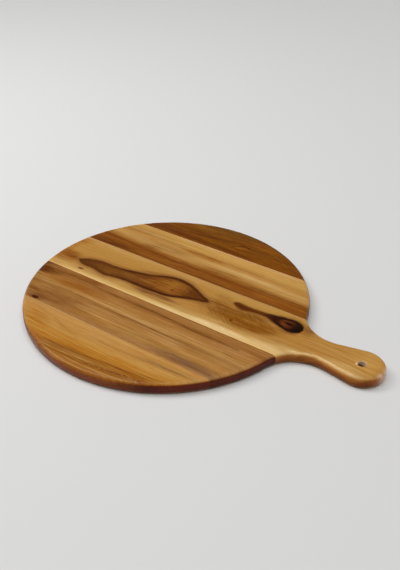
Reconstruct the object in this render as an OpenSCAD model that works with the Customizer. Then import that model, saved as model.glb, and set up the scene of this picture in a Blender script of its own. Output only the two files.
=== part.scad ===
// Round serving board with a paddle handle, edge glued from five hardwood staves.
// Lengths are in millimetres. X runs from the middle of the disc to the tip of the handle,
// Y runs across the staves and Z is up from the underside, which is flat and rests on the table.

/* [Board] */
// Diameter of the round serving surface
disc_d = 380; // [320:2:420]
// Thickness of the board
board_t = 15; // [12:0.5:24]
// Radius of the rounding along the top and bottom edges
edge_r = 5; // [1:0.5:5.5]

/* [Handle] */
// Length of the straight flanks between the hollow shoulders and the round head
flank_l = 34.1; // [10:0.5:80]
// Width of the handle where it is narrowest
neck_w = 40; // [30:1:46]
// Radius of the hollow shoulders between the disc and the handle
shoulder_r = 50; // [30:1:54]
// Diameter of the round head at the end of the handle
head_d = 56; // [50:1:66]

/* [Hanging hole] */
// Diameter of the hole through the head of the handle
hole_d = 10; // [6:0.5:16]
// Radius of the eased rims of the hole
hole_rim_r = 1.5; // [0.5:0.5:3]

/* [Staves] */
// Width of the middle stave, which runs on into the handle
handle_stave_w = 84; // [76:1:110]
// Width of the inner stave on the left
inner_left_w = 78; // [40:1:90]
// Width of the inner stave on the right
inner_right_w = 79.5; // [40:1:90]
// Distance that the middle stave's centre line lies to the left of the disc's centre
stave_shift = 4; // [-6:0.5:6]
// Angle by which the glued panel lies turned under the outline
stave_turn = -1.4; // [-3:0.1:3]

/* [Hidden] */
$fn = 180;

// Overrun of everything that cuts right through
cut_over = 2;

// Nearby angle whose sine and cosine are both short decimals. Parts turned by it keep their
// exact size, so they close up against the parts beside them.
unit = 0.000001;
function short_angle(angle) =
    let (
        choices = [for (k = [-40:40]) acos(min(1, unit * (round(cos(angle) / unit) + k)))],
        misses = [for (c = choices) abs(sin(c) / unit - round(sin(c) / unit))]
    )
    sign(angle) * choices[search(min(misses), misses)[0]];

// Outline: the disc, two hollow shoulder arcs, two straight flanks and the round head
disc_r = disc_d / 2;
head_r = head_d / 2;
shoulder_gap = disc_r + shoulder_r;
shoulder_turn = short_angle(asin((neck_w / 2 + shoulder_r) / shoulder_gap));
shoulder_x = shoulder_gap * cos(shoulder_turn);
shoulder_y = shoulder_gap * sin(shoulder_turn);

// The flank is straight: it leaves the shoulder's arc and runs on into the arc of the head,
// whose centre lies on the middle line
head_gap = norm([flank_l, shoulder_r + head_r]);
head_x = shoulder_x + sqrt(pow(head_gap, 2) - pow(shoulder_y, 2));
overall_l = disc_r + head_x + head_r;
flank_normal = atan2(shoulder_y, shoulder_x - head_x) - acos((shoulder_r + head_r) / head_gap);
flank_turn = short_angle(flank_normal - shoulder_turn - 90);

// How far the shoulder's section reaches inwards, which is past the middle of the disc
inner_reach = disc_r + head_r;

// Joint lines, as distances to the left of the disc's centre before the panel is turned
joint_left = stave_shift + handle_stave_w / 2;
joint_right = stave_shift - handle_stave_w / 2;
joint_far_left = joint_left + inner_left_w;
joint_far_right = joint_right - inner_right_w;
panel_edge = disc_r + head_r;

// Wood tones of the staves, from the left
dark_heartwood = [0.42, 0.24, 0.11];
banded_wood = [0.68, 0.44, 0.21];
golden_sapwood = [0.80, 0.56, 0.29];
brown_heartwood = [0.58, 0.36, 0.18];
orange_wood = [0.69, 0.40, 0.16];

// Quarter of a round disc, in the corner between +X and +Y
module quarter_round(r) {
    intersection() {
        circle(r);
        square(r);
    }
}

// Cross-section of the board, from a line inside it to its rounded edge, which lies at x = reach
module edge_section(reach) {
    square([reach - edge_r, board_t]);
    translate([reach - edge_r, edge_r]) {
        square([edge_r, board_t - 2 * edge_r]);
        mirror([0, 1]) quarter_round(edge_r);
    }
    translate([reach - edge_r, board_t - edge_r]) quarter_round(edge_r);
}

// Half of a round plate with the rounded edge, on the -Y side of the X axis
module half_plate(r) {
    rotate(180) rotate_extrude(angle = 180) edge_section(r);
}

// The stretches of the left outline follow each other from frame to frame, so that each one
// starts exactly where the last one ends. The first frame has its origin at the centre of the
// shoulder's arc and its X axis points away from the disc.
module in_shoulder_frame() {
    rotate(shoulder_turn) translate([shoulder_gap, 0]) children();
}

// The second frame is the first one, turned about its origin to where the shoulder's arc ends
module in_flank_frame() {
    rotate(flank_turn) rotate(90) children();
}

// Hollow shoulder: a ring round the arc's centre, cut off on the line where the flank begins
module shoulder_part() {
    ring_r = shoulder_r + inner_reach;
    difference() {
        rotate(180)
            rotate_extrude(angle = 180)
                translate([ring_r, 0])
                    mirror([1, 0])
                        edge_section(inner_reach);
        in_flank_frame()
            translate([-ring_r - cut_over, -ring_r - cut_over, -cut_over])
                cube([2 * (ring_r + cut_over), ring_r + cut_over, board_t + 2 * cut_over]);
    }
}

// Straight flank, from the end of the shoulder's arc to the start of the head's
module flank_part() {
    rotate([90, 0, 0])
        linear_extrude(flank_l)
            translate([-shoulder_r - head_d, 0])
                edge_section(head_d);
}

// Left half of the board, with the middle line as its straight side
module left_half() {
    intersection() {
        in_shoulder_frame() {
            translate([-shoulder_gap, 0]) mirror([0, 1, 0]) half_plate(disc_r);
            shoulder_part();
            in_flank_frame() {
                flank_part();
                translate([-shoulder_r - head_r, -flank_l]) half_plate(head_r);
            }
        }
        translate([-overall_l, 0, -cut_over])
            cube([2 * overall_l, overall_l, board_t + 2 * cut_over]);
    }
}

// The whole board as one panel, before it is parted into staves
module panel() {
    left_half();
    mirror([0, 1, 0]) left_half();
}

// The strip of the panel between two joint lines
module strip(right, left) {
    intersection() {
        panel();
        rotate(stave_turn)
            translate([-overall_l, right, -cut_over])
                cube([2 * overall_l, left - right, board_t + 2 * cut_over]);
    }
}

// Waste of one eased rim of the hole: a ring that is hollowed to a quarter round
module rim_waste() {
    rotate_extrude()
        difference() {
            square([hole_d / 2 + hole_rim_r, hole_rim_r + cut_over]);
            translate([hole_d / 2 + hole_rim_r, 0]) circle(hole_rim_r);
        }
}

// The hole to hang the board by, with both rims eased
module hanging_hole() {
    translate([head_x, 0, -cut_over]) cylinder(d = hole_d, h = board_t + 2 * cut_over);
    translate([head_x, 0, board_t - hole_rim_r]) rim_waste();
    translate([head_x, 0, hole_rim_r]) mirror([0, 0, 1]) rim_waste();
}

module outer_left_stave() {
    color(dark_heartwood) strip(joint_far_left, panel_edge);
}

module inner_left_stave() {
    color(banded_wood) strip(joint_left, joint_far_left);
}

module handle_stave() {
    color(golden_sapwood)
        difference() {
            strip(joint_right, joint_left);
            hanging_hole();
        }
}

module inner_right_stave() {
    color(brown_heartwood) strip(joint_far_right, joint_right);
}

module outer_right_stave() {
    color(orange_wood) strip(-panel_edge, joint_far_right);
}

outer_left_stave();
inner_left_stave();
handle_stave();
inner_right_stave();
outer_right_stave();
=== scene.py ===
import math
import bmesh
import bpy
import numpy as np
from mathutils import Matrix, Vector


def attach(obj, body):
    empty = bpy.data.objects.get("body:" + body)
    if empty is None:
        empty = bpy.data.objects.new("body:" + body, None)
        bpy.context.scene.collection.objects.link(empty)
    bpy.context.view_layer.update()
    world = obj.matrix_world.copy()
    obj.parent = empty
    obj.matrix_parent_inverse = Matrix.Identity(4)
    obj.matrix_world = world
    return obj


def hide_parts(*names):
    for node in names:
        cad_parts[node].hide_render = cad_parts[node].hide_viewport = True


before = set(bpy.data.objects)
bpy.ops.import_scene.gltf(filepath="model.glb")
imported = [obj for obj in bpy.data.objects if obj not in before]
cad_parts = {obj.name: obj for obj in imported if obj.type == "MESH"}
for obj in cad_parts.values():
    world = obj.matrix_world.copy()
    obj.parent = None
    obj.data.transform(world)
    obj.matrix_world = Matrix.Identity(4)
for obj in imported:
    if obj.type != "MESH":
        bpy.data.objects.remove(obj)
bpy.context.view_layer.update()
print("frame loaded")

# camera at the viewing angle of the photograph
viewpoint = {
    "place": (0.4675, -0.6270, 0.5429),
    "tilt": 56.29,  # degrees up from looking straight down
    "turn": 33.48,
    "lens": 44.49,
    "sensor": 36.0,
}

cameraData = bpy.data.cameras.new("tableCamera")
cameraData.lens = viewpoint["lens"]
cameraData.sensor_width = viewpoint["sensor"]
camera = bpy.data.objects.new("tableCamera", cameraData)
camera.location = viewpoint["place"]
camera.rotation_euler = (math.radians(viewpoint["tilt"]), 0, math.radians(viewpoint["turn"]))
bpy.context.collection.objects.link(camera)
bpy.context.scene.camera = camera
bpy.context.scene.view_settings.view_transform = "Standard"

# outline of the whole board, in metres
board = {
    "discRadius": 0.189996,
    "thickness": 0.015,
    "edgeRound": 0.005,
    "shoulderRadius": 0.050,
    "neckHalf": 0.020,
    "flank": 0.0340,
    "headRadius": 0.028,
    "outlineSteps": 1500,  # along the disc's arc, half as many along each of the others
    "grainTurn": math.radians(-1.4),
}
grainAxis = np.array([math.cos(board["grainTurn"]), math.sin(board["grainTurn"])])
crossAxis = np.array([-grainAxis[1], grainAxis[0]])


def boardPoints():
    # centres of the left shoulder's arc and of the head's arc, and the direction from the
    # shoulder's centre to the flank
    reach = board["discRadius"] + board["shoulderRadius"]
    lean = math.asin((board["neckHalf"] + board["shoulderRadius"]) / reach)
    shoulder = np.array([reach * math.cos(lean), reach * math.sin(lean)])
    across = board["shoulderRadius"] + board["headRadius"]
    gap = math.hypot(across, board["flank"])
    head = np.array([shoulder[0] + math.sqrt(gap ** 2 - shoulder[1] ** 2), 0.0])
    toFlank = math.atan2(-shoulder[1], head[0] - shoulder[0]) - math.atan2(board["flank"], across)
    return lean, shoulder, head, toFlank


def halfOutline(inset):
    # arcs and one straight line, from the far end of the disc round the left side to the tip:
    # disc radius less the inset, shoulder radius plus the inset, head radius less the inset
    lean, shoulder, head, toFlank = boardPoints()
    count = board["outlineSteps"]
    discTurn = np.linspace(math.pi, lean, count)
    shoulderTurn = np.linspace(lean - math.pi, toFlank, count // 2)
    headTurn = np.linspace(toFlank + math.pi, 0.0, count // 2)
    discRadius = board["discRadius"] - inset
    shoulderRadius = board["shoulderRadius"] + inset
    headRadius = board["headRadius"] - inset
    disc = discRadius * np.column_stack([np.cos(discTurn), np.sin(discTurn)])
    hollow = shoulder + shoulderRadius * np.column_stack([np.cos(shoulderTurn), np.sin(shoulderTurn)])
    headArc = head + headRadius * np.column_stack([np.cos(headTurn), np.sin(headTurn)])
    return np.vstack([disc, hollow[1:], headArc])


def wholeOutline(inset):
    # the left half and its mirror image, starting and ending at the far end of the disc
    left = halfOutline(inset)
    right = left[::-1] * [1, -1]
    return np.vstack([left, right[1:]])


def resample(path, count):
    # equal steps of arc length along a path
    run = np.concatenate([[0], np.cumsum(np.linalg.norm(np.diff(path, axis=0), axis=1))])
    steps = np.linspace(0, run[-1], count + 1)
    return np.column_stack([np.interp(steps, run, path[:, k]) for k in range(2)])


def crossings(path, offset):
    # where the path first and last crosses the line at this distance across the grain
    side = path @ crossAxis - offset
    hits = np.nonzero(side[:-1] * side[1:] <= 0)[0]
    found = []
    for hit in (hits[0], hits[-1]):
        share = side[hit] / (side[hit] - side[hit + 1])
        found.append((hit, path[hit] + share * (path[hit + 1] - path[hit])))
    return found


def between(path, start, end):
    # the stretch of a path between two crossings
    return np.vstack([start[1], path[start[0] + 1:end[0] + 1], end[1]])


staveGrid = {
    "farCount": 28,  # steps along half of the far end
    "jointCount": 90,  # steps along a joint
    "nearCount": 110,  # steps along half of the near end
    "roundSteps": 9,
    "acrossCount": 27,  # odd, so that no point of the last row falls on the tip of the sheet
    "jointGap": 0.00004,
    "jointEase": 0.00018,
    "mergeDistance": 2e-6,
    "thinEdge": 1e-7,
    "sharpAngle": 40,
}


def edgeLayers():
    # the rounded edge from the underside to the top: inset = r - r cos a, height = r - r sin a,
    # with the joints' own edges broken a little in the first and last layer
    radius, steps = board["edgeRound"], staveGrid["roundSteps"]
    turn = np.linspace(0, math.pi / 2, steps + 1)[::-1]
    inset = radius - radius * np.cos(turn)
    low = radius - radius * np.sin(turn)
    ease = np.full(steps + 1, staveGrid["jointGap"])
    ease[0] = staveGrid["jointEase"]
    up = np.column_stack([inset, low, ease])
    down = np.column_stack([inset, board["thickness"] - low, ease])[::-1]
    return np.vstack([up, down])


def staveChains(right, left, inset, ease):
    # left and right side of one stave's plan, each from the far end to the near end
    # None stands for the rim, where the stave has no joint on that side
    path = wholeOutline(inset)
    middle = len(path) // 2
    grid = staveGrid
    if left is None or right is None:
        # an outer stave: the rim on one side and a single joint on the other
        joint = right + ease if left is None else left - ease
        half = path[:middle + 1] if left is None else path[middle:][::-1]
        far, near = crossings(half, joint)
        count = 2 * grid["farCount"] + grid["jointCount"] + 2 * grid["nearCount"]
        rim = resample(between(half, far, near), count)
        line = resample(np.vstack([far[1], near[1]]), count)
        return (rim, line) if left is None else (line, rim)
    leftHalf, rightHalf = path[:middle + 1], path[middle:][::-1]
    leftSide = leftHalf if left > 0 else rightHalf
    rightSide = leftHalf if right > 0 else rightHalf
    farLeft, nearLeft = crossings(leftSide, left - ease)
    farRight, nearRight = crossings(rightSide, right + ease)
    if left > 0 > right:
        # the middle stave, whose near end runs round the tip of the handle
        farEnd = np.vstack([between(leftHalf, (0, leftHalf[0]), farLeft)[::-1],
                            between(rightHalf, (0, rightHalf[0]), farRight)[1:]])
        nearEnd = np.vstack([between(leftHalf, nearLeft, (middle - 1, leftHalf[-1])),
                             between(rightHalf, nearRight, (middle - 1, rightHalf[-1]))[::-1][1:]])
        nearMiddle = middle - nearLeft[0] + 1
    else:
        # an inner stave, whose ends both lie on the same half of the outline
        outer, inner = (farLeft, farRight) if left > 0 else (farRight, farLeft)
        farEnd = between(leftSide, inner, outer)
        outer, inner = (nearLeft, nearRight) if left > 0 else (nearRight, nearLeft)
        nearEnd = between(leftSide, outer, inner)
        if left > 0:
            farEnd = farEnd[::-1]
        else:
            nearEnd = nearEnd[::-1]
        nearMiddle = None
    farCount, nearCount = grid["farCount"], grid["nearCount"]
    farEven = resample(farEnd, 2 * farCount)
    if nearMiddle is None:
        nearEven = resample(nearEnd, 2 * nearCount)
    else:
        nearEven = np.vstack([resample(nearEnd[:nearMiddle + 1], nearCount),
                              resample(nearEnd[nearMiddle:], nearCount)[1:]])
    leftLineRun = resample(np.vstack([farEven[0], nearEven[0]]), grid["jointCount"])
    rightLineRun = resample(np.vstack([farEven[-1], nearEven[-1]]), grid["jointCount"])
    leftChain = np.vstack([farEven[:farCount + 1][::-1], leftLineRun[1:], nearEven[1:nearCount + 1]])
    rightChain = np.vstack([farEven[farCount:], rightLineRun[1:], nearEven[nearCount:-1][::-1]])
    return leftChain, rightChain


def gridQuads(rows, columns, start=0):
    # corner numbers of the quads of a grid whose points are stored row after row
    corner = start + np.arange(rows * columns).reshape(rows, columns)
    return np.stack([corner[:-1, :-1], corner[1:, :-1], corner[1:, 1:], corner[:-1, 1:]],
                    axis=-1).reshape(-1, 4)


def surface(grids, name, material, node):
    # joins grids of points into one closed mesh with outward faces
    points = np.vstack([g.reshape(-1, 3) for g in grids])
    quads, start = [], 0
    for g in grids:
        quads.append(gridQuads(g.shape[0], g.shape[1], start))
        start += g.shape[0] * g.shape[1]
    mesh = bpy.data.meshes.new(name)
    mesh.from_pydata(points.tolist(), [], np.vstack(quads).tolist())
    work = bmesh.new()
    work.from_mesh(mesh)
    bmesh.ops.remove_doubles(work, verts=work.verts, dist=staveGrid["mergeDistance"])
    bmesh.ops.dissolve_degenerate(work, edges=work.edges, dist=staveGrid["thinEdge"])
    bmesh.ops.recalc_face_normals(work, faces=work.faces)
    openEdges = sum(1 for e in work.edges if len(e.link_faces) != 2)
    work.to_mesh(mesh)
    work.free()
    mesh.shade_smooth()
    mesh.set_sharp_from_angle(angle=math.radians(staveGrid["sharpAngle"]))
    mesh.materials.append(material)
    piece = bpy.data.objects.new(name, mesh)
    bpy.context.collection.objects.link(piece)
    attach(piece, "root")
    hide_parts(node)
    print(name, "faces", len(mesh.polygons), "open edges", openEdges)


def raised(plan, height):
    # lifts plan points to one height
    return np.concatenate([plan, np.full(plan.shape[:-1] + (1,), height)], axis=-1)


def sheetBetween(leftChain, rightChain, height, count):
    # straight lines from the left side to the right side: (1 - s) left + s right
    share = np.linspace(0, 1, count + 1)[None, :, None]
    return raised(leftChain[:, None] * (1 - share) + rightChain[:, None] * share, height)


def sideBand(right, left):
    # the stave's rim and joints: its plan, carried up through the edge layers
    loops = []
    for inset, height, ease in edgeLayers():
        leftChain, rightChain = staveChains(right, left, inset, ease)
        loop = np.vstack([leftChain, rightChain[::-1][1:]])
        loops.append(raised(loop, height))
    return np.array(loops)


def flatStave(right, left, name, material, node):
    # a stave whose top and underside are one sheet each
    band = sideBand(right, left)
    rows = band.shape[1] // 2 + 1
    sheets = []
    for loop, height in ((band[0], 0.0), (band[-1], board["thickness"])):
        leftChain, rightChain = loop[:rows, :2], loop[rows - 1:, :2][::-1]
        sheets.append(sheetBetween(leftChain, rightChain, height, staveGrid["acrossCount"]))
    surface([band] + sheets, name, material, node)


hangingHole = {
    "radius": 0.005,
    "ease": 0.0015,
    "easeSteps": 6,
    "rings": 9,
    "ringSpread": 0.8,  # under 1, so that the rings lie closer together near the hole
    "patchStart": 75,  # step of the near end where the grid gives way to rings
}


def holeRings(loop, height, upward):
    # rings that run from the loop round the head to the rim of the hole, and over the rim:
    # radius = hole + ease - ease sin a, depth = ease - ease cos a
    head = boardPoints()[2]
    turn = np.unwrap(np.arctan2(loop[:, 1] - head[1], loop[:, 0] - head[0]))
    circle = np.column_stack([np.cos(turn), np.sin(turn)])
    rim = hangingHole["radius"] + hangingHole["ease"]
    share = np.linspace(0, 1, hangingHole["rings"] + 1) ** hangingHole["ringSpread"]
    flat = [raised(loop * (1 - s) + (head + circle * rim) * s, height) for s in share]
    fall = np.linspace(0, math.pi / 2, hangingHole["easeSteps"] + 1)[1:]
    for a in fall:
        radius = rim - hangingHole["ease"] * math.sin(a)
        depth = hangingHole["ease"] * (1 - math.cos(a))
        flat.append(raised(head + circle * radius, height - upward * depth))
    return np.array(flat)


def handleStave(right, left, name, material, node):
    # the middle stave: sheets as far as the handle's head, then rings round its hole
    band = sideBand(right, left)
    rows = band.shape[1] // 2 + 1
    start = staveGrid["farCount"] + staveGrid["jointCount"] + hangingHole["patchStart"]
    grids = [band]
    inner = []
    for loop, height, upward in ((band[0], 0.0, -1), (band[-1], board["thickness"], 1)):
        leftChain, rightChain = loop[:rows, :2], loop[rows - 1:, :2][::-1]
        sheet = sheetBetween(leftChain[:start + 1], rightChain[:start + 1], height,
                             staveGrid["acrossCount"])
        around = np.vstack([sheet[-1, :, :2], rightChain[start + 1:-1], leftChain[start:][::-1]])
        rings = holeRings(around, height, upward)
        grids += [sheet, rings]
        inner.append(rings[-1])
    grids.append(np.array(inner))
    surface(grids, name, material, node)


# shader helpers: the wood is drawn in millimetres
perMetre = 1000

softness = {
    "blobCore": 0.75,  # value of the gradient from which on a blob is full
    "lineCore": 0.25,  # share of a line's half width that is full
    "lineEnds": 0.16,  # share of its length over which a line fades at either end
}


def tone(code):
    # a colour given as six hex digits, made linear
    parts = [int(code[k:k + 2], 16) / 255 for k in (0, 2, 4)]
    return tuple(p / 12.92 if p <= 0.04045 else ((p + 0.055) / 1.055) ** 2.4 for p in parts)


def newMaterial(name):
    material = bpy.data.materials.new(name)
    material.use_nodes = True
    material.node_tree.nodes.clear()
    return material


def joinUp(tree, socket, value):
    if isinstance(value, bpy.types.NodeSocket):
        tree.links.new(value, socket)
    else:
        socket.default_value = value


def calc(tree, operation, first, second=0.0, third=0.0, clamp=False):
    node = tree.nodes.new("ShaderNodeMath")
    node.operation = operation
    node.use_clamp = clamp
    for socket, value in zip(node.inputs, (first, second, third)):
        joinUp(tree, socket, value)
    return node.outputs[0]


def moved(tree, vector, location=(0, 0, 0), turn=0.0, scale=(1, 1, 1)):
    node = tree.nodes.new("ShaderNodeMapping")
    node.inputs["Location"].default_value = location
    node.inputs["Rotation"].default_value = (0, 0, turn)
    node.inputs["Scale"].default_value = scale
    tree.links.new(vector, node.inputs["Vector"])
    return node.outputs[0]


def split(tree, vector):
    node = tree.nodes.new("ShaderNodeSeparateXYZ")
    tree.links.new(vector, node.inputs[0])
    return node.outputs


def joined(tree, x, y, z):
    node = tree.nodes.new("ShaderNodeCombineXYZ")
    for socket, value in zip(node.inputs, (x, y, z)):
        joinUp(tree, socket, value)
    return node.outputs[0]


def noise(tree, vector, size, detail, roughness, shift):
    # noise whose grains measure about size, in millimetres along, across and through the stave
    node = tree.nodes.new("ShaderNodeTexNoise")
    node.inputs["Scale"].default_value = 1.0
    node.inputs["Detail"].default_value = detail
    node.inputs["Roughness"].default_value = roughness
    tree.links.new(moved(tree, vector, shift, 0.0, tuple(1 / s for s in size)), node.inputs["Vector"])
    return node.outputs["Fac"]


def mapped(tree, value, low, high, start=0.0, end=1.0, kind="SMOOTHSTEP"):
    node = tree.nodes.new("ShaderNodeMapRange")
    node.interpolation_type = kind
    joinUp(tree, node.inputs["Value"], value)
    node.inputs["From Min"].default_value = low
    node.inputs["From Max"].default_value = high
    node.inputs["To Min"].default_value = start
    node.inputs["To Max"].default_value = end
    return node.outputs["Result"]


def ramp(tree, value, stops):
    # tones at given places along a value
    low, high = stops[0][0], stops[-1][0]
    node = tree.nodes.new("ShaderNodeValToRGB")
    elements = node.color_ramp.elements
    while len(elements) < len(stops):
        elements.new(1.0)
    for element, (place, code) in zip(elements, stops):
        element.position = (place - low) / (high - low)
        element.color = (*tone(code), 1)
    tree.links.new(mapped(tree, value, low, high, kind="LINEAR"), node.inputs["Fac"])
    return node.outputs["Color"]


def mixed(tree, share, base, over, blend="MIX"):
    node = tree.nodes.new("ShaderNodeMix")
    node.data_type = "RGBA"
    node.blend_type = blend
    joinUp(tree, node.inputs["Factor"], share)
    for key, value in (("A", base), ("B", over)):
        socket = [s for s in node.inputs if s.name == key and s.type == "RGBA"][0]
        joinUp(tree, socket, (*tone(value), 1) if isinstance(value, str) else value)
    return [s for s in node.outputs if s.type == "RGBA"][0]


def curveOf(tree, x, points, low=-200, high=200):
    # a smooth curve through points (x, y) in millimetres, level beyond its ends
    node = tree.nodes.new("ShaderNodeFloatCurve")
    curve = node.mapping.curves[0]
    first, last = points[0][0], points[-1][0]
    places = [((px - first) / (last - first), (py - low) / (high - low)) for px, py in points]
    while len(curve.points) < len(places):
        curve.points.new(0.5, 0.5)
    for spot, place in zip(curve.points, places):
        spot.location = place
    node.mapping.update()
    tree.links.new(mapped(tree, x, first, last, kind="LINEAR"), node.inputs["Value"])
    return calc(tree, "MULTIPLY_ADD", node.outputs["Value"], high - low, low)


def blob(tree, vector, centre, radii, turn=0.0):
    # 1 in the middle of an ellipse, falling smoothly to 0 at its edge
    shifted = moved(tree, vector, (-centre[0], -centre[1], 0))
    turned = moved(tree, shifted, turn=-math.radians(turn))
    flat = moved(tree, turned, scale=(1 / radii[0], 1 / radii[1], 0))
    node = tree.nodes.new("ShaderNodeTexGradient")
    node.gradient_type = "SPHERICAL"
    tree.links.new(flat, node.inputs["Vector"])
    return mapped(tree, node.outputs["Fac"], 0.0, softness["blobCore"])


def grainLine(tree, x, y, points, width):
    # a line along the grain, full in its middle, which fades at both ends
    off = calc(tree, "ABSOLUTE", calc(tree, "SUBTRACT", y, curveOf(tree, x, points)))
    line = mapped(tree, off, width * softness["lineCore"], width, 1.0, 0.0)
    first, last = points[0][0], points[-1][0]
    fade = (last - first) * softness["lineEnds"]
    ends = calc(tree, "MULTIPLY", mapped(tree, x, first, first + fade),
                mapped(tree, x, last - fade, last, 1.0, 0.0))
    return calc(tree, "MULTIPLY", line, ends)


def depthInside(tree, x, y, upper, lower, span=(-40, 60)):
    # distance in from the nearer of two outlines, above and below a figure within the span
    top = curveOf(tree, x, upper, *span)
    bottom = curveOf(tree, x, lower, *span)
    return calc(tree, "MINIMUM", calc(tree, "SUBTRACT", top, y), calc(tree, "SUBTRACT", y, bottom))


# what all five staves share: a grain is (size in millimetres, detail, roughness), in the figures
# with its shift as well, and a range is two values of a noise, a place or a height with the two
# shares that these turn into, where they are not 0 and 1
finish = {
    "driftAlong": 0.765,  # how far the figure moves for each millimetre of depth
    "driftAcross": 0.45,
    "slowGrain": ((170, 34, 60), 2.0, 0.5),
    "waveGrain": ((44, 10, 20), 3.0, 0.55),
    "guideSpan": (-20, 20),
    "lineBend": 0.3,  # share of the wandering that the lines follow
    "cloudGrain": ((46, 5, 14), 3.0, 0.6),
    "cloudRange": (0.34, 0.62, 0.45, 1.2),
    "lineGrain": ((16, 1.6, 4), 2.0, 0.6),
    "lineRange": (0.36, 0.56, 0.55, 1.1),
    "streakGrain": ((120, 1.7, 3.0), 3.0, 0.6),
    "streakRange": (0.34, 0.66),
    "fineGrain": ((34, 0.75, 1.2), 2.0, 0.6),
    "fineRange": (0.32, 0.68),
    "fibreGrain": ((11, 0.28, 0.4), 2.0, 0.6),
    "fibreRange": (0.3, 0.7),
    "fibreRelief": 0.5,
    "poreGrain": ((5.0, 0.30, 0.35), 1.0, 0.5),
    "poreRange": (0.67, 0.76),
    "uprightRange": (0.35, 0.75, 1.0, 0.0),
    "endRange": (0.28, 0.52),
    "endTone": "a05a26",
    "side": [(4, "ce9862"), (9, "d8a572"), (12.5, "ecc99c")],  # painted shade: the side darker towards the bottom, least at the top rounding
    "tipLean": 0.3,
    "tipRange": (296, 306, 1.0, 0.15),
    "roughness": (0.25, 0.33),
    "ior": 1.45,
    "specular": 0.26,
    "sheenTone": (1.0, 0.84, 0.66, 1),
    "bumpStrength": 0.35,
    "bumpDistance": 0.00006,
}


def boreLightAndShade(tree, colour, place, raw, boreShading):
    # bare wood on the left wall of the bore, painted light making it pale above and painted shade making it
    # dark below, where the lit part reaches further down towards the tip, and a painted pink highlight on one
    # side of the rim
    x = calc(tree, "SUBTRACT", raw["X"], float(boreShading["centre"][0]) * perMetre)
    toTip = calc(tree, "MULTIPLY_ADD", raw["Y"], boreShading["tipLean"], x)
    toLeft = calc(tree, "SUBTRACT", calc(tree, "MULTIPLY", raw["Y"], boreShading["leftLean"]), x)
    wall = mapped(tree, blob(tree, place, boreShading["centre"], boreShading["radii"]), *boreShading["wallRange"])
    wall = calc(tree, "MULTIPLY", wall, mapped(tree, toLeft, *boreShading["leftRange"]))
    litShare = mapped(tree, calc(tree, "MULTIPLY_ADD", toTip, boreShading["slope"], raw["Z"]), *boreShading["heights"])
    rimHighlight = blob(tree, place, boreShading["rimHighlightCentre"], boreShading["rimHighlightRadii"])
    rimHighlight = calc(tree, "MULTIPLY", rimHighlight, mapped(tree, raw["Z"], *boreShading["rimHighlightHeights"]))
    colour = mixed(tree, rimHighlight, colour, boreShading["rimHighlightTone"])
    return mixed(tree, wall, colour, mixed(tree, litShare, boreShading["shadedWallTone"], boreShading["litWallTone"]))


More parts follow.
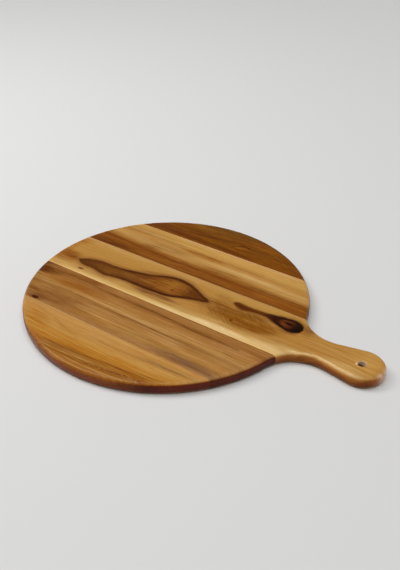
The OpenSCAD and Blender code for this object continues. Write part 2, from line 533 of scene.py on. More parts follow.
def woodMaterial(name, look, figures=None):
    # bands across the stave, bent round knots and by slow noise, then clouds, lines and figures,
    # and streaks, fibre and pores along the grain
    material = newMaterial(name)
    tree = material.node_tree
    seed = look["seed"]
    source = tree.nodes.new("ShaderNodeTexCoord")
    raw = split(tree, moved(tree, source.outputs["Object"], scale=(perMetre, perMetre, perMetre)))

    # the figure moves along and across with the depth below the top face
    depth = calc(tree, "SUBTRACT", board["thickness"] * perMetre, raw["Z"])
    x = calc(tree, "MULTIPLY_ADD", depth, finish["driftAlong"], raw["X"])
    y = calc(tree, "MULTIPLY_ADD", depth, finish["driftAcross"], raw["Y"])
    place = joined(tree, x, y, raw["Z"])
    along = moved(tree, place, turn=-board["grainTurn"])
    straight = split(tree, along)

    # wandering grain that also swells round the knots
    slow = noise(tree, along, *finish["slowGrain"], (seed, 0, 0))
    wave = noise(tree, along, *finish["waveGrain"], (0, seed, 0))
    bend = calc(tree, "ADD",
                calc(tree, "MULTIPLY", calc(tree, "SUBTRACT", slow, 0.5), look["wander"]),
                calc(tree, "MULTIPLY", calc(tree, "SUBTRACT", wave, 0.5), look["ripple"]))
    for centre, radii, strength in look.get("swells", []):
        push = calc(tree, "MULTIPLY", calc(tree, "SUBTRACT", y, centre[1]), -strength)
        bend = calc(tree, "MULTIPLY_ADD", push, blob(tree, place, centre, radii), bend)
    across = calc(tree, "ADD", straight["Y"], bend)
    bent = joined(tree, straight["X"], across, straight["Z"])
    guided = across
    if "guide" in look:
        guide = curveOf(tree, x, look["guide"], *finish["guideSpan"])
        guided = calc(tree, "SUBTRACT", across, guide)
    wavyY = calc(tree, "MULTIPLY_ADD", bend, finish["lineBend"], y)

    colour = ramp(tree, guided, look["bands"])

    # clouds of lighter or darker wood, drawn out along the grain
    cloudGrain = noise(tree, bent, *finish["cloudGrain"], (seed, seed, 0))
    broken = mapped(tree, cloudGrain, *finish["cloudRange"])
    for centre, radii, turn, strength, over in look["clouds"]:
        mask = calc(tree, "MULTIPLY", blob(tree, place, centre, radii, turn), broken)
        colour = mixed(tree, calc(tree, "MULTIPLY", mask, strength, clamp=True), colour, over)

    # lines along the grain
    lineGrain = noise(tree, bent, *finish["lineGrain"], (0, 0, seed))
    lineGrain = mapped(tree, lineGrain, *finish["lineRange"])
    for points, width, strength, over in look["lines"]:
        mask = calc(tree, "MULTIPLY", grainLine(tree, x, wavyY, points, width), lineGrain)
        colour = mixed(tree, calc(tree, "MULTIPLY", mask, strength, clamp=True), colour, over)

    if figures:
        colour = figures(tree, colour, x, y, place, along)

    # streaks and fibre: a power of the colour, so that darker wood is also redder
    streak = noise(tree, bent, *finish["streakGrain"], (0, 0, seed))
    streak = mapped(tree, streak, *finish["streakRange"])
    fine = noise(tree, bent, *finish["fineGrain"], (seed, 0, 0))
    fine = mapped(tree, fine, *finish["fineRange"])
    fibre = noise(tree, bent, *finish["fibreGrain"], (seed, 0, seed))
    power = calc(tree, "MULTIPLY_ADD", streak, look["streak"], 1.0 - look["streak"] / 2)
    power = calc(tree, "MULTIPLY_ADD", fine, look["fine"], power)
    power = calc(tree, "SUBTRACT", power, look["fine"] / 2)
    fibreShare = mapped(tree, fibre, *finish["fibreRange"])
    power = calc(tree, "MULTIPLY_ADD", fibreShare, look["fibre"], power)
    power = calc(tree, "SUBTRACT", power, look["fibre"] / 2)
    gamma = tree.nodes.new("ShaderNodeGamma")
    tree.links.new(colour, gamma.inputs["Color"])
    tree.links.new(power, gamma.inputs["Gamma"])
    colour = gamma.outputs[0]
    pore = noise(tree, bent, *finish["poreGrain"], (0, seed, seed))
    pore = mapped(tree, pore, *finish["poreRange"])
    colour = mixed(tree, calc(tree, "MULTIPLY", pore, look["pore"]), colour, look["poreTone"])

    # end grain drinks more oil, so upright faces across the fibres are darker and redder
    normal = split(tree, source.outputs["Normal"])
    cut = calc(tree, "MULTIPLY", normal["X"], float(grainAxis[0]))
    cut = calc(tree, "ABSOLUTE", calc(tree, "MULTIPLY_ADD", normal["Y"], float(grainAxis[1]), cut))
    upright = mapped(tree, calc(tree, "ABSOLUTE", normal["Z"]), *finish["uprightRange"])
    endShare = calc(tree, "MULTIPLY", mapped(tree, cut, *finish["endRange"]), upright)
    colour = mixed(tree, calc(tree, "MULTIPLY", endShare, look["endGrain"]), colour,
                   finish["endTone"], "MULTIPLY")

    # painted shade on the side, by its height and deeper towards the bottom, which fades out towards the tip
    # of the handle
    side = ramp(tree, raw["Z"], look.get("side", finish["side"]))
    toTip = calc(tree, "MULTIPLY_ADD", raw["Y"], finish["tipLean"], raw["X"])
    sideShadeShare = calc(tree, "MULTIPLY", upright, mapped(tree, toTip, *finish["tipRange"]))
    colour = mixed(tree, sideShadeShare, colour, side, "MULTIPLY")

    # painted light and shade inside the bore, with a painted highlight on its rim
    if "boreShading" in look:
        colour = boreLightAndShade(tree, colour, source.outputs["Object"], raw, look["boreShading"])

    shader = tree.nodes.new("ShaderNodeBsdfPrincipled")
    tree.links.new(colour, shader.inputs["Base Color"])
    roughness = mapped(tree, fibre, *finish["fibreRange"], *finish["roughness"])
    tree.links.new(roughness, shader.inputs["Roughness"])
    shader.inputs["IOR"].default_value = finish["ior"]
    shader.inputs["Specular IOR Level"].default_value = finish["specular"]
    shader.inputs["Specular Tint"].default_value = finish["sheenTone"]
    bump = tree.nodes.new("ShaderNodeBump")
    bump.inputs["Strength"].default_value = finish["bumpStrength"]
    bump.inputs["Distance"].default_value = finish["bumpDistance"]
    relief = calc(tree, "SUBTRACT", calc(tree, "MULTIPLY", fibre, finish["fibreRelief"]), pore)
    tree.links.new(relief, bump.inputs["Height"])
    tree.links.new(bump.outputs[0], shader.inputs["Normal"])
    output = tree.nodes.new("ShaderNodeOutputMaterial")
    tree.links.new(shader.outputs[0], output.inputs["Surface"])
    return material


# In each look, bands are (distance across the grain, tone), clouds are (centre, radii, turn,
# strength, tone), lines are (points, half width, strength, tone) and swells are (centre, radii,
# strength), all in millimetres from the centre of the disc.

# outer left stave: dark orange-brown heartwood with a curl in its grain
outerLeftLook = {
    "seed": 3.1,
    "wander": 7.0,
    "ripple": 3.0,
    "streak": 0.26,
    "fine": 0.16,
    "fibre": 0.30,
    "pore": 0.55,
    "poreTone": "321001",
    "endGrain": 0.9,
    "bands": [
        (118, "7b3f01"), (127, "763c01"), (131, "683401"), (138, "7b4303"), (146, "784103"),
        (153, "723e04"), (160, "7b4506"), (170, "7b470c"), (182, "6e460f"), (192, "68430f"),
    ],
    "swells": [((24, 150), (26, 12), 0.5)],
    "clouds": [
        ((-96, 139), (52, 15), 4, 0.75, "683608"),
        ((88, 128), (56, 8), -2, 0.6, "864803"),
        ((60, 164), (34, 9), -14, 0.7, "945408"),
        ((100, 142), (26, 5), -18, 0.6, "673603"),
        ((-20, 166), (60, 7), 4, 0.45, "693d04"),
    ],
    "lines": [
        ([(-70, 150), (-48, 147), (-25, 150), (-4, 153)], 2.2, 0.75, "552601"),
        ([(12, 143), (18, 147), (25, 151), (33, 153), (42, 150)], 2.0, 0.85, "512201"),
        ([(16, 141), (24, 146), (34, 149), (44, 147)], 1.6, 0.6, "965709"),
        ([(-66, 131), (-20, 132), (30, 130), (70, 126)], 2.4, 0.5, "572b01"),
        ([(40, 170), (70, 163), (96, 152), (122, 136)], 1.6, 0.5, "653804"),
        ([(64, 160), (88, 150), (112, 134)], 1.3, 0.45, "99600d"),
    ],
}

# inner left stave: light golden wood that turns deep brown along its right side
innerLeftLook = {
    "seed": 7.7,
    "wander": 4.0,
    "ripple": 2.4,
    "streak": 0.22,
    "fine": 0.14,
    "fibre": 0.25,
    "pore": 0.35,
    "poreTone": "5a2e0a",
    "endGrain": 0.9,
    "swells": [((-14, 55), (24, 13), 0.6)],
    "guide": [
        (-180, 9), (-130, 4.5), (-60, 0.5), (-22, -1.5), (20, 1.0), (70, 0.5), (110, -1.5), (180, -1.0),
    ],
    "bands": [
        (40, "733b05"), (47, "7b4309"), (52, "864b10"), (60, "85490e"), (65, "7b4107"), (68, "935b1d"),
        (74, "a97334"), (80, "bd8d4a"), (86, "c39552"), (91, "b9853f"), (97, "b5813f"), (103, "bf8f48"),
        (108, "c5954a"), (116, "c39148"), (121, "c79956"), (128, "c5934c"),
    ],
    "clouds": [
        ((-6, 98), (54, 6.5), -2, 1.0, "975a15"),
        ((70, 97), (46, 2.6), -2, 0.7, "9f6927"),
        ((-86, 77), (26, 10), 8, 0.75, "84511a"),
        ((-138, 57), (52, 9), 0, 0.9, "602a00"),
        ((-110, 112), (60, 12), 0, 0.7, "b18245"),
        ((-105, 91), (56, 7), 2, 0.6, "a7793d"),
        ((-56, 104), (34, 6), -6, 0.5, "a37337"),
        ((40, 76), (44, 4.5), 2, 0.6, "956527"),
        ((70, 86), (100, 5), -1, 0.8, "cfa361"),
        ((70, 112), (100, 9), -2, 0.8, "ce9d54"),
        ((146, 54), (60, 8), 0, 0.6, "8d4d0e"),
        ((0, 56), (50, 8), 0, 0.5, "8b531c"),
        ((-60, 86), (56, 10), 0, 0.8, "a5763c"),
        ((120, 55), (36, 7), 0, 0.6, "985a1c"),
    ],
    "lines": [
        ([(-156, 103), (-120, 105), (-86, 105), (-50, 103)], 1.8, 0.6, "95672a"),
        ([(-80, 124.2), (0, 122.2), (60, 120.8), (150, 118.6)], 1.8, 0.6, "dcae78"),
        ([(-30, 66), (-18, 68), (-4, 64), (14, 63)], 1.6, 0.45, "643107"),
        ([(80, 67), (110, 66), (140, 65), (182, 63)], 2.4, 0.6, "5e2f03"),
        ([(10, 71), (40, 71), (70, 69), (96, 66)], 1.5, 0.5, "6d4110"),
        ([(20, 84), (70, 83), (130, 80), (176, 77)], 1.6, 0.5, "c99f63"),
        ([(-180, 62), (-150, 60), (-90, 61), (-40, 59)], 1.6, 0.4, "5a2a02"),
    ],
}

# handle stave: golden sapwood with a lens of heartwood and a dark knot
handleLook = {
    "seed": 1.3,
    "wander": 3.4,
    "ripple": 2.0,
    "streak": 0.16,
    "fine": 0.12,
    "fibre": 0.24,
    "pore": 0.40,
    "poreTone": "693b10",
    "endGrain": 0.15,
    "guide": [(-190, 0), (40, 0), (110, 2), (160, 4.5), (204, 4), (230, 2.5), (306, 2)],
    "swells": [((-12, 8), (90, 40), 0.45), ((172, 18), (46, 30), 0.5)],
    # painted shade on the handle's sides, deepest towards the bottom and least at the top rounding
    "side": [(4, "a6702b"), (7.5, "b6803a"), (10.5, "d4a25e"), (13.2, "eeca96")],
    # painted light and shade in the bore: a lit pale upper wall, a shaded dark lower wall and a pink
    # highlight on one side of the rim
    "boreShading": {  # centres and radii in metres, heights and ranges in millimetres
        "centre": boardPoints()[2],
        "radii": (0.0134, 0.0134),
        "slope": 0.55,
        "heights": (7.4, 10.6),
        "litWallTone": "ffe4ba",
        "shadedWallTone": "3a1d06",
        "tipLean": 0.66,
        "leftLean": 1.5,
        "wallRange": (0.87, 0.925),
        "leftRange": (-4, 0),
        "rimHighlightCentre": boardPoints()[2] + (-0.0049, -0.0032),
        "rimHighlightRadii": (0.0030, 0.0036),
        "rimHighlightHeights": (12, 14),
        "rimHighlightTone": "f2c4a0",
    },
    "bands": [
        (-42, "e5bd77"), (-37, "e1b973"), (-31, "cda35d"), (-26, "bd904d"), (-18, "b78641"), (-8, "b5803a"),
        (6, "b5813b"), (18, "b6833c"), (28, "b7863d"), (36, "bd8c45"), (48, "c19251"),
    ],
    "clouds": [
        ((-172, -5), (36, 19), -4, 0.95, "894d0e"),
        ((-182, 34), (32, 16), 30, 0.8, "a76a25"),
        ((-188, 8), (18, 40), 0, 0.6, "9c6320"),
        ((-110, -24), (60, 6), 0, 0.5, "b5884b"),
        ((-182, -30), (34, 10), 0, 0.6, "bd8a49"),
        ((84, -24.5), (46, 5.5), 6, 0.7, "c99d5a"),
        ((122, -5), (68, 20), 3, 1.0, "8d550d"),
        ((134, -13), (46, 9), 5, 0.95, "854b07"),
        ((76, 5), (46, 17), 0, 0.95, "8c581c"),
        ((80, 24), (30, 12), -20, 0.4, "9b6831"),
        ((198, 20), (18, 15), -30, 0.9, "8e5922"),
        ((-8, -20), (52, 7), 0, 0.95, "7d4e23"),
        ((24, 38), (60, 7), 0, 0.5, "c19051"),
        ((258, 0), (78, 30), 0, 1.0, "bf8c47"),
        # painted highlight: a cream cloud along the rounding of the handle's near edge
        ((244, -25.5), (80, 7.5), -2, 0.9, "e2bd7e"),
        ((266, -16), (36, 8), -6, 0.8, "d1a662"),
        ((286, 4), (32, 26), 0, 0.8, "c9964d"),
        ((304, 2), (12, 22), 0, 0.5, "b07a3c"),
        # the next two clouds are a painted pink reflection on the tip's side and on its near top rounding
        ((314, 8), (14, 30), 0, 1.0, "f4ceb2"),
        ((311, -10), (13, 12), 0, 0.85, "f6d0b6"),
        ((186, -31), (60, 8), 0, 0.7, "d4a866"),
        ((46, -35), (96, 5.5), -1, 0.6, "ebc88e"),
        ((104, -35), (60, 8), -2, 0.85, "f0cf9a"),
        ((172, -32), (36, 8), -2, 0.6, "e4be84"),
        ((-38, 22), (36, 8), 18, 0.45, "8a5a2a"),
        ((0, -26.5), (44, 4), 0, 0.6, "a87539"),
        ((150, -6), (24, 9), 4, 0.8, "8a520c"),
        ((126, 9), (34, 8), 2, 0.9, "85541c"),
    ],
    "lines": [
        # painted highlight: a thin bright line along the rounding of the handle's near edge
        ([(186, -30), (199, -25.6), (212, -20.4), (225, -17), (239, -18), (251, -20), (263, -22.8),
          (273, -24.2), (290, -23.2)], 1.7, 0.7, "eec68c"),
        ([(196, 3), (230, 1), (262, -2), (300, -6)], 1.0, 0.5, "94612b"),
        ([(204, -6), (236, -8), (262, -9), (300, -14)], 1.1, 0.5, "94612b"),
        ([(210, 11), (240, 9), (266, 8), (300, 8)], 0.9, 0.45, "97652c"),
        ([(220, -13), (250, -14), (290, -19)], 0.9, 0.4, "97652c"),
        ([(64, -2), (96, 2), (130, 5), (160, 2)], 2.6, 0.25, "7b4b14"),
        ([(-186, -2), (-170, -4), (-152, -3)], 2.6, 0.5, "794614"),
        ([(110, -24), (140, -21), (180, -17), (220, -14)], 2.0, 0.45, "a57236"),
    ],
}

# the lens runs along the middle of the disc, with its outline darker than its heartwood
lensFigure = {
    "upper": [
        (-160, -16), (-148, -5), (-140, 0), (-130, 3.4), (-118, 5.6), (-96, 5.8), (-80, 7), (-60, 11),
        (-40, 16.5), (-24, 23), (-10, 28), (2, 29.2), (18, 27), (32, 21.5), (48, 13.5), (60, 7), (70, -6),
    ],
    "lower": [
        (-160, 4), (-148, -7), (-141, -11.5), (-132, -13), (-118, -13.2), (-106, -16), (-94, -17.6),
        (-80, -15.5), (-56, -13.2), (-30, -14), (-6, -13.6), (8, -12.2), (20, -8), (30, -3.4), (44, 0),
        (60, 4.5), (70, 16),
    ],
    "wobbleGrain": ((12, 5, 10), 3.0, 0.6, (2, 5, 0)),
    "wobble": 2.6,
    "edgeRange": (-3.2, 0.4),
    "inside": [
        (-150, "663604"), (-125, "6c3e0a"), (-92, "84501a"), (-66, "754414"), (-44, "7e4a18"),
        (-22, "834a10"), (2, "99611f"), (18, "8e561a"), (32, "683608"), (46, "562702"), (62, "4e2200"),
    ],
    "nestedGrain": ((46, 2.2, 1), 3.0, 0.6, (9, 0, 0)),
    "nestedRange": (0.34, 0.66, 0.86, 1.16),
    "outline": "4c1e00",
    "outlineRange": (1.0, 5.6, 1.0, 0.0),
    "outlineAlong": (-150, -15, 0.6, 1.0),
    "soft": "6a390a",
    "softRange": (3.0, 13.0, 0.7, 0.0),
    "halo": "875424",
    "haloRange": (-10.0, -0.5, 0.0, 0.7),
    "lowLine": [(-62, -13), (-30, -13.6), (-6, -13.2), (10, -11.4), (22, -7), (34, -3.4), (50, 1)],
    "lowWidth": 3.0,
    "lowStrength": 0.8,
    "lowTone": "3e1500",
}

# the knot lies where the handle begins, with a tail that runs from it towards the lens
knotFigure = {
    "tailUpper": [
        (86, 12), (92, 24), (98, 26), (106, 25), (122, 24.2), (136, 25.0), (150, 27.0), (166, 28), (178, 8),
    ],
    "tailLower": [
        (86, 34), (92, 22), (99, 17), (106, 15), (118, 17), (132, 18.6), (146, 17.6), (160, 14), (178, 26),
    ],
    "tailWobble": 3.0,
    "tailTones": [(-5, "94602a"), (-1.5, "7a4514"), (1.0, "683606"), (3.2, "5f2c02"), (5, "542302")],
    "tailRange": (-4.5, 1.2),
    "tailDarkening": (130, 150, 0.0, 0.85),
    "upper": [
        (138, 10), (146, 21), (152, 24.4), (158, 27.4), (165, 30.0), (173, 31.4), (181, 30.8), (187, 28.0),
        (190.5, 24), (192.5, 18), (194, 4),
    ],
    "lower": [
        (138, 28), (146, 19), (152, 16.4), (158, 12.8), (165, 9.2), (173, 6.8), (181, 6.2), (187, 8.6),
        (190.5, 12), (192.5, 18), (194, 32),
    ],
    "wobbleGrain": ((7, 3.5, 6), 3.0, 0.6, (6, 1, 0)),
    "wobble": 2.2,
    "edgeRange": (-2.4, 1.6),
    "heart": [
        (146, "4e1a02"), (152, "380e00"), (159, "4a1c02"), (166, "6a3410"), (173, "5a2606"), (181, "2c0c00"),
    ],
    "rim": "1c0400",
    "rimRange": (2.2, 6.4, 1.0, 0.0),
    "rimAlong": (143, 162),
    "halo": "74420c",
    "haloRange": (-8.0, 0.0, 0.0, 0.6),
    "black": "120300",
    "blackLean": -0.35,
    "blackRange": (170, 179),
    "crack": ((172.0, 21.0), (11, 3.8), -6),
}

# slanting flecks in the cloud between the lens and the knot, and pin knots, each as (centre,
# radii, turn, tone)
fleckFigure = {
    "slant": math.radians(38),
    "grain": ((13, 2.6, 6), 3.0, 0.6, (3, 3, 0)),
    "range": (0.42, 0.62),
    "cloud": ((112, 0), (78, 30), 4),
    "strength": 0.72,
    "tone": "7e490c",
    "pinKnots": [
        ((-132, -23.6), (7.4, 3.0), 0, "5a1c00"),
        ((107, -12.6), (3.8, 2.8), -30, "642a00"),
        ((7, 2.5), (2.6, 4.8), -20, "682e04"),
        ((-160, -5), (3.0, 2.4), 0, "6a3c10"),
    ],
    "pinStrength": 0.9,
}


def lensShape(tree, colour, x, y, along):
    # tone by the distance in from the outline and along the lens, with lines nested inside it
    look = lensFigure
    wobble = calc(tree, "SUBTRACT", noise(tree, along, *look["wobbleGrain"]), 0.5)
    depth = depthInside(tree, x, calc(tree, "MULTIPLY_ADD", wobble, look["wobble"], y),
                        look["upper"], look["lower"])
    inside = ramp(tree, x, look["inside"])
    nested = noise(tree, joined(tree, x, depth, 0.0), *look["nestedGrain"])
    gamma = tree.nodes.new("ShaderNodeGamma")
    tree.links.new(inside, gamma.inputs["Color"])
    tree.links.new(mapped(tree, nested, *look["nestedRange"]), gamma.inputs["Gamma"])
    inside = mixed(tree, mapped(tree, depth, *look["softRange"]), gamma.outputs[0], look["soft"])
    rim = calc(tree, "MULTIPLY", mapped(tree, depth, *look["outlineRange"]),
               mapped(tree, x, *look["outlineAlong"]))
    inside = mixed(tree, rim, inside, look["outline"])
    # a soft brown halo outside the outline
    colour = mixed(tree, mapped(tree, depth, *look["haloRange"]), colour, look["halo"])
    colour = mixed(tree, mapped(tree, depth, *look["edgeRange"]), colour, inside)
    low = grainLine(tree, x, y, look["lowLine"], look["lowWidth"])
    return mixed(tree, calc(tree, "MULTIPLY", low, look["lowStrength"]), colour, look["lowTone"])


def knotShape(tree, colour, x, y, place, along):
    # the tail and the knot, each by the distance in from its outline
    look = knotFigure
    wobble = calc(tree, "SUBTRACT", noise(tree, along, *look["wobbleGrain"]), 0.5)
    tail = depthInside(tree, x, calc(tree, "MULTIPLY_ADD", wobble, look["tailWobble"], y),
                       look["tailUpper"], look["tailLower"])
    knot = depthInside(tree, x, calc(tree, "MULTIPLY_ADD", wobble, look["wobble"], y),
                       look["upper"], look["lower"])
    colour = mixed(tree, mapped(tree, knot, *look["haloRange"]), colour, look["halo"])
    # the tail darkens towards the knot
    tailTone = mixed(tree, mapped(tree, x, *look["tailDarkening"]), ramp(tree, tail, look["tailTones"]),
                     look["rim"])
    colour = mixed(tree, mapped(tree, tail, *look["tailRange"]), colour, tailTone)
    # the heart is black at its near end and round a crack
    heart = ramp(tree, x, look["heart"])
    blackEnd = mapped(tree, calc(tree, "MULTIPLY_ADD", y, look["blackLean"], x), *look["blackRange"])
    heart = mixed(tree, blackEnd, heart, look["black"])
    heart = mixed(tree, blob(tree, place, *look["crack"]), heart, look["black"])
    rim = calc(tree, "MULTIPLY", mapped(tree, knot, *look["rimRange"]), mapped(tree, x, *look["rimAlong"]))
    heart = mixed(tree, rim, heart, look["rim"])
    return mixed(tree, mapped(tree, knot, *look["edgeRange"]), colour, heart)


def handleFigures(tree, colour, x, y, place, along):
    look = fleckFigure
    slanted = moved(tree, along, turn=look["slant"])
    flecks = mapped(tree, noise(tree, slanted, *look["grain"]), *look["range"])
    cloud = calc(tree, "MULTIPLY", blob(tree, place, *look["cloud"]), flecks)
    colour = mixed(tree, calc(tree, "MULTIPLY", cloud, look["strength"]), colour, look["tone"])
    colour = lensShape(tree, colour, x, y, along)
    colour = knotShape(tree, colour, x, y, place, along)
    for centre, radii, turn, over in look["pinKnots"]:
        spot = blob(tree, place, centre, radii, turn)
        colour = mixed(tree, calc(tree, "MULTIPLY", spot, look["pinStrength"]), colour, over)
    return colour


# inner right stave: mid brown with darker streaks
innerRightLook = {
    "seed": 11.9,
    "wander": 4.0,
    "ripple": 2.4,
    "streak": 0.22,
    "fine": 0.17,
    "fibre": 0.28,
    "pore": 0.50,
    "poreTone": "442209",
    "endGrain": 1.0,
    "swells": [((-135, -110), (24, 12), 0.6)],
    "bands": [
        (-122, "9c6d35"), (-112, "a3713c"), (-104, "ab793a"), (-96, "af7d40"), (-88, "a9773c"),
        (-80, "9e6d35"), (-75, "b78749"), (-68, "a97538"), (-60, "a77137"), (-54, "98622a"),
        (-47, "9c6831"), (-42, "a36f37"), (-36, "9c662c"),
    ],
    "clouds": [
        ((-118, -96), (84, 20), 0, 0.95, "865423"),
        ((-190, -47), (66, 24), 0, 1.0, "5c2900"),
        ((-124, -41), (74, 7), 0, 0.8, "834a14"),
        ((-178, -90), (36, 34), 0, 0.7, "834c12"),
        ((-110, -62), (76, 13), 0, 0.8, "955a19"),
        ((-164, -72), (56, 7), 0, 0.7, "99652c"),
        ((112, -112), (78, 9.5), -2, 0.95, "825837"),
        ((112, -99), (60, 4.5), -3, 0.6, "b78544"),
        ((150, -113), (14, 5), -20, 0.6, "ad7d3c"),
        ((-20, -88), (60, 8), -2, 0.4, "b38144"),
        ((140, -62), (44, 12), -2, 0.7, "b07e46"),
        ((62, -90), (44, 8), -2, 0.7, "bd8d52"),
        ((84, -70), (66, 8), -2, 0.5, "b98850"),
    ],
    "lines": [
        ([(-110, -71), (-60, -73), (0, -76), (30, -78), (80, -80)], 2.4, 0.7, "bf8f53"),
        ([(-172, -76), (-123, -75), (-90, -75.6), (-40, -78.6), (0, -80.4), (60, -83), (140, -86)], 2.0, 0.5,
         "764619"),
        ([(-186, -43), (-150, -45), (-110, -45.4), (-60, -48.6), (0, -51)], 2.8, 0.6, "693807"),
        ([(-30, -50.4), (20, -51.4), (44, -53), (70, -55.4), (104, -56.4), (132, -57)], 2.8, 0.75, "6b3e12"),
        ([(-20, -103), (20, -102), (50, -102), (90, -105), (140, -106)], 1.8, 0.45, "724b18"),
        ([(-60, -98), (0, -98.5), (60, -96), (110, -99)], 2.4, 0.25, "bd8d50"),
        ([(112, -56.4), (131, -57.6), (150, -58.6)], 2.0, 0.5, "66390e"),
        ([(130, -71), (150, -75), (172, -77)], 1.8, 0.4, "7a4c1e"),
        ([(-90, -86), (-50, -89), (-10, -93), (30, -96)], 1.2, 0.5, "875627"),
        ([(-40, -83), (10, -86), (70, -89), (120, -92)], 1.1, 0.4, "875627"),
    ],
}


pinFigure = {
    "halo": ((-133, -108), (22, 9), 4),
    "haloStrength": 0.55,
    "haloTone": "6a3a14",
    "spot": ((-135, -109.6), (8.8, 4.2), 4),
    "spotRange": (0.2, 0.75),
    "spotTone": "451400",
}


def pinKnot(tree, colour, x, y, place, along):
    # a small dark knot with a halo drawn out along the grain
    halo = calc(tree, "MULTIPLY", blob(tree, place, *pinFigure["halo"]), pinFigure["haloStrength"])
    colour = mixed(tree, halo, colour, pinFigure["haloTone"])
    spot = mapped(tree, blob(tree, place, *pinFigure["spot"]), *pinFigure["spotRange"])
    return mixed(tree, spot, colour, pinFigure["spotTone"])


# outer right stave: golden orange with brown bands towards the rim
outerRightLook = {
    "seed": 5.2,
    "wander": 4.0,
    "ripple": 2.4,
    "streak": 0.20,
    "fine": 0.16,
    "fibre": 0.22,
    "pore": 0.35,
    "poreTone": "66370a",
    "endGrain": 1.0,
    "guide": [(-110, -8), (-70, -4), (-30, -0.5), (0, 0), (50, 2.5), (100, 5), (140, 7)],
    "bands": [
        (-192, "9f631b"), (-184, "a16726"), (-177, "8f5715"), (-171, "9d692c"), (-166, "9f6117"),
        (-161, "af701f"), (-156, "b57b2e"), (-150, "bb8033"), (-144, "bd8840"), (-134, "bb8642"),
        (-126, "c18d49"), (-120, "c3904d"), (-112, "b98646"),
    ],
    "clouds": [
        ((-104, -142), (46, 20), -26, 0.8, "ad7122"),
        ((96, -132), (64, 5), 2, 0.7, "976f3e"),
        ((10, -146), (46, 7), 4, 0.5, "c39044"),
        ((84, -142), (40, 7), 6, 0.5, "c39044"),
        ((-64, -164), (34, 5), -8, 0.6, "af6f24"),
        ((-78, -168), (30, 6), -20, 0.7, "96551c"),
        ((-2, -157), (60, 4.5), 3, 0.7, "af7120"),
        ((50, -152), (50, 4), 5, 0.5, "b5751b"),
    ],
    "lines": [
        ([(-74, -165), (-48, -168), (-16, -168), (10, -165), (45, -162.6), (84, -160), (112, -157)], 1.9, 0.7,
         "7a4c1e"),
        ([(-74, -172), (-44, -175.6), (-16, -174.6), (20, -171)], 1.5, 0.6, "bc8a49"),
        ([(-30, -180), (10, -181), (50, -178), (78, -172)], 1.6, 0.6, "bc8a49"),
        ([(-118, -124), (-80, -131), (-48, -141), (-20, -146)], 3.0, 0.35, "9f6d2f"),
        ([(-30, -133), (20, -136), (80, -134), (134, -130)], 1.4, 0.4, "8b612c"),
        ([(70, -158), (92, -155), (110, -152)], 1.6, 0.6, "7f4f19"),
    ],
}


rimFlecks = {
    "line": [(0, -176), (24, -174.6), (46, -171.6), (70, -168.4), (96, -164)],
    "width": 3.4,
    "grain": ((3.2, 1.5, 3), 2.0, 0.6, (4, 8, 0)),
    "range": (0.44, 0.56),
    "tone": "7c3a0a",
}


def redFlecks(tree, colour, x, y, place, along):
    # a line of short red-brown flecks near the rim
    fleck = mapped(tree, noise(tree, along, *rimFlecks["grain"]), *rimFlecks["range"])
    line = grainLine(tree, x, y, rimFlecks["line"], rimFlecks["width"])
    return mixed(tree, calc(tree, "MULTIPLY", line, fleck), colour, rimFlecks["tone"])


# joint lines, in metres across the grain from the disc's centre
joints = {"farLeft": 0.124, "left": 0.046, "right": -0.038, "farRight": -0.1175}

flatStave(joints["farLeft"], None, "outer_left_wood",
          woodMaterial("darkHeartwood", outerLeftLook), "outer_left_stave")
flatStave(joints["left"], joints["farLeft"], "inner_left_wood",
          woodMaterial("bandedWood", innerLeftLook), "inner_left_stave")
handleStave(joints["right"], joints["left"], "handle_wood",
            woodMaterial("goldenSapwood", handleLook, handleFigures), "handle_stave")
flatStave(joints["farRight"], joints["right"], "inner_right_wood",
          woodMaterial("brownHeartwood", innerRightLook, pinKnot), "inner_right_stave")
flatStave(None, joints["farRight"], "outer_right_wood",
          woodMaterial("orangeWood", outerRightLook, redFlecks), "outer_right_stave")
print("staves made")

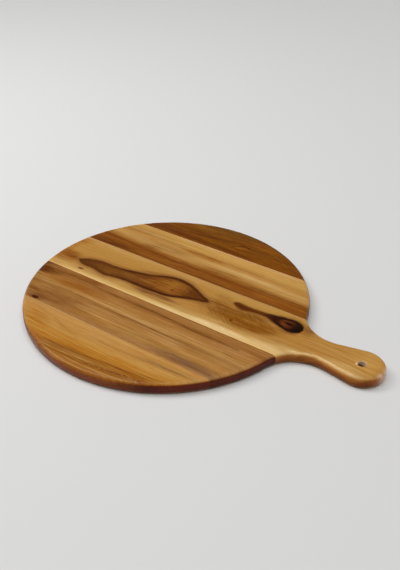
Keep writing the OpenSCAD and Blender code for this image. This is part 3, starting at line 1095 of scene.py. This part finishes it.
# floor and light
studio = {
    "floorSize": 60.0,
    "floorDrop": 0.0002,
    "floorTone": (0.74, 0.738, 0.73, 1),
    "floorRoughness": 0.9,
    "floorSpecular": 0.1,
    "keyPlace": (-1.25, -0.25, 1.55),
    "keySize": 0.9,
    "keyWatts": 13.8,
    # strength of the sky at the horizon, half way up and overhead, and the heights of its
    # direction between which it changes
    "skyStrength": (0.62, 0.06, 2.42),
    "skyHeights": (0.10, 0.32, 0.74, 0.97),
}

floorMesh = bpy.data.meshes.new("floor")
half, low = studio["floorSize"] / 2, -studio["floorDrop"]
floorMesh.from_pydata([(-half, -half, low), (half, -half, low), (half, half, low), (-half, half, low)],
                      [], [(0, 1, 2, 3)])
floor = bpy.data.objects.new("floor", floorMesh)
bpy.context.collection.objects.link(floor)
floorMaterial = newMaterial("paleFloor")
floorShader = floorMaterial.node_tree.nodes.new("ShaderNodeBsdfPrincipled")
floorShader.inputs["Base Color"].default_value = studio["floorTone"]
floorShader.inputs["Roughness"].default_value = studio["floorRoughness"]
floorShader.inputs["Specular IOR Level"].default_value = studio["floorSpecular"]
floorOutput = floorMaterial.node_tree.nodes.new("ShaderNodeOutputMaterial")
floorMaterial.node_tree.links.new(floorShader.outputs[0], floorOutput.inputs["Surface"])
floorMesh.materials.append(floorMaterial)

keyData = bpy.data.lights.new("keyLight", "AREA")
keyData.shape = "SQUARE"
keyData.size = studio["keySize"]
keyData.energy = studio["keyWatts"]
keyLight = bpy.data.objects.new("keyLight", keyData)
keyLight.location = studio["keyPlace"]
keyLight.rotation_euler = (-Vector(studio["keyPlace"])).to_track_quat("-Z", "Y").to_euler()
bpy.context.collection.objects.link(keyLight)

# a soft sky: pale at the horizon, dim half way up and bright overhead
world = bpy.data.worlds.new("studio")
world.use_nodes = True
skyTree = world.node_tree
sky = skyTree.nodes["Background"]
sky.inputs["Color"].default_value = (1, 1, 1, 1)
skyPlace = skyTree.nodes.new("ShaderNodeTexCoord")
height = split(skyTree, skyPlace.outputs["Generated"])["Z"]
horizon, middle, overhead = studio["skyStrength"]
heights = studio["skyHeights"]
glow = calc(skyTree, "ADD", mapped(skyTree, height, heights[0], heights[1], horizon, middle),
            mapped(skyTree, height, heights[2], heights[3], 0.0, overhead - middle))
skyTree.links.new(glow, sky.inputs["Strength"])
bpy.context.scene.world = world
print("studio set")
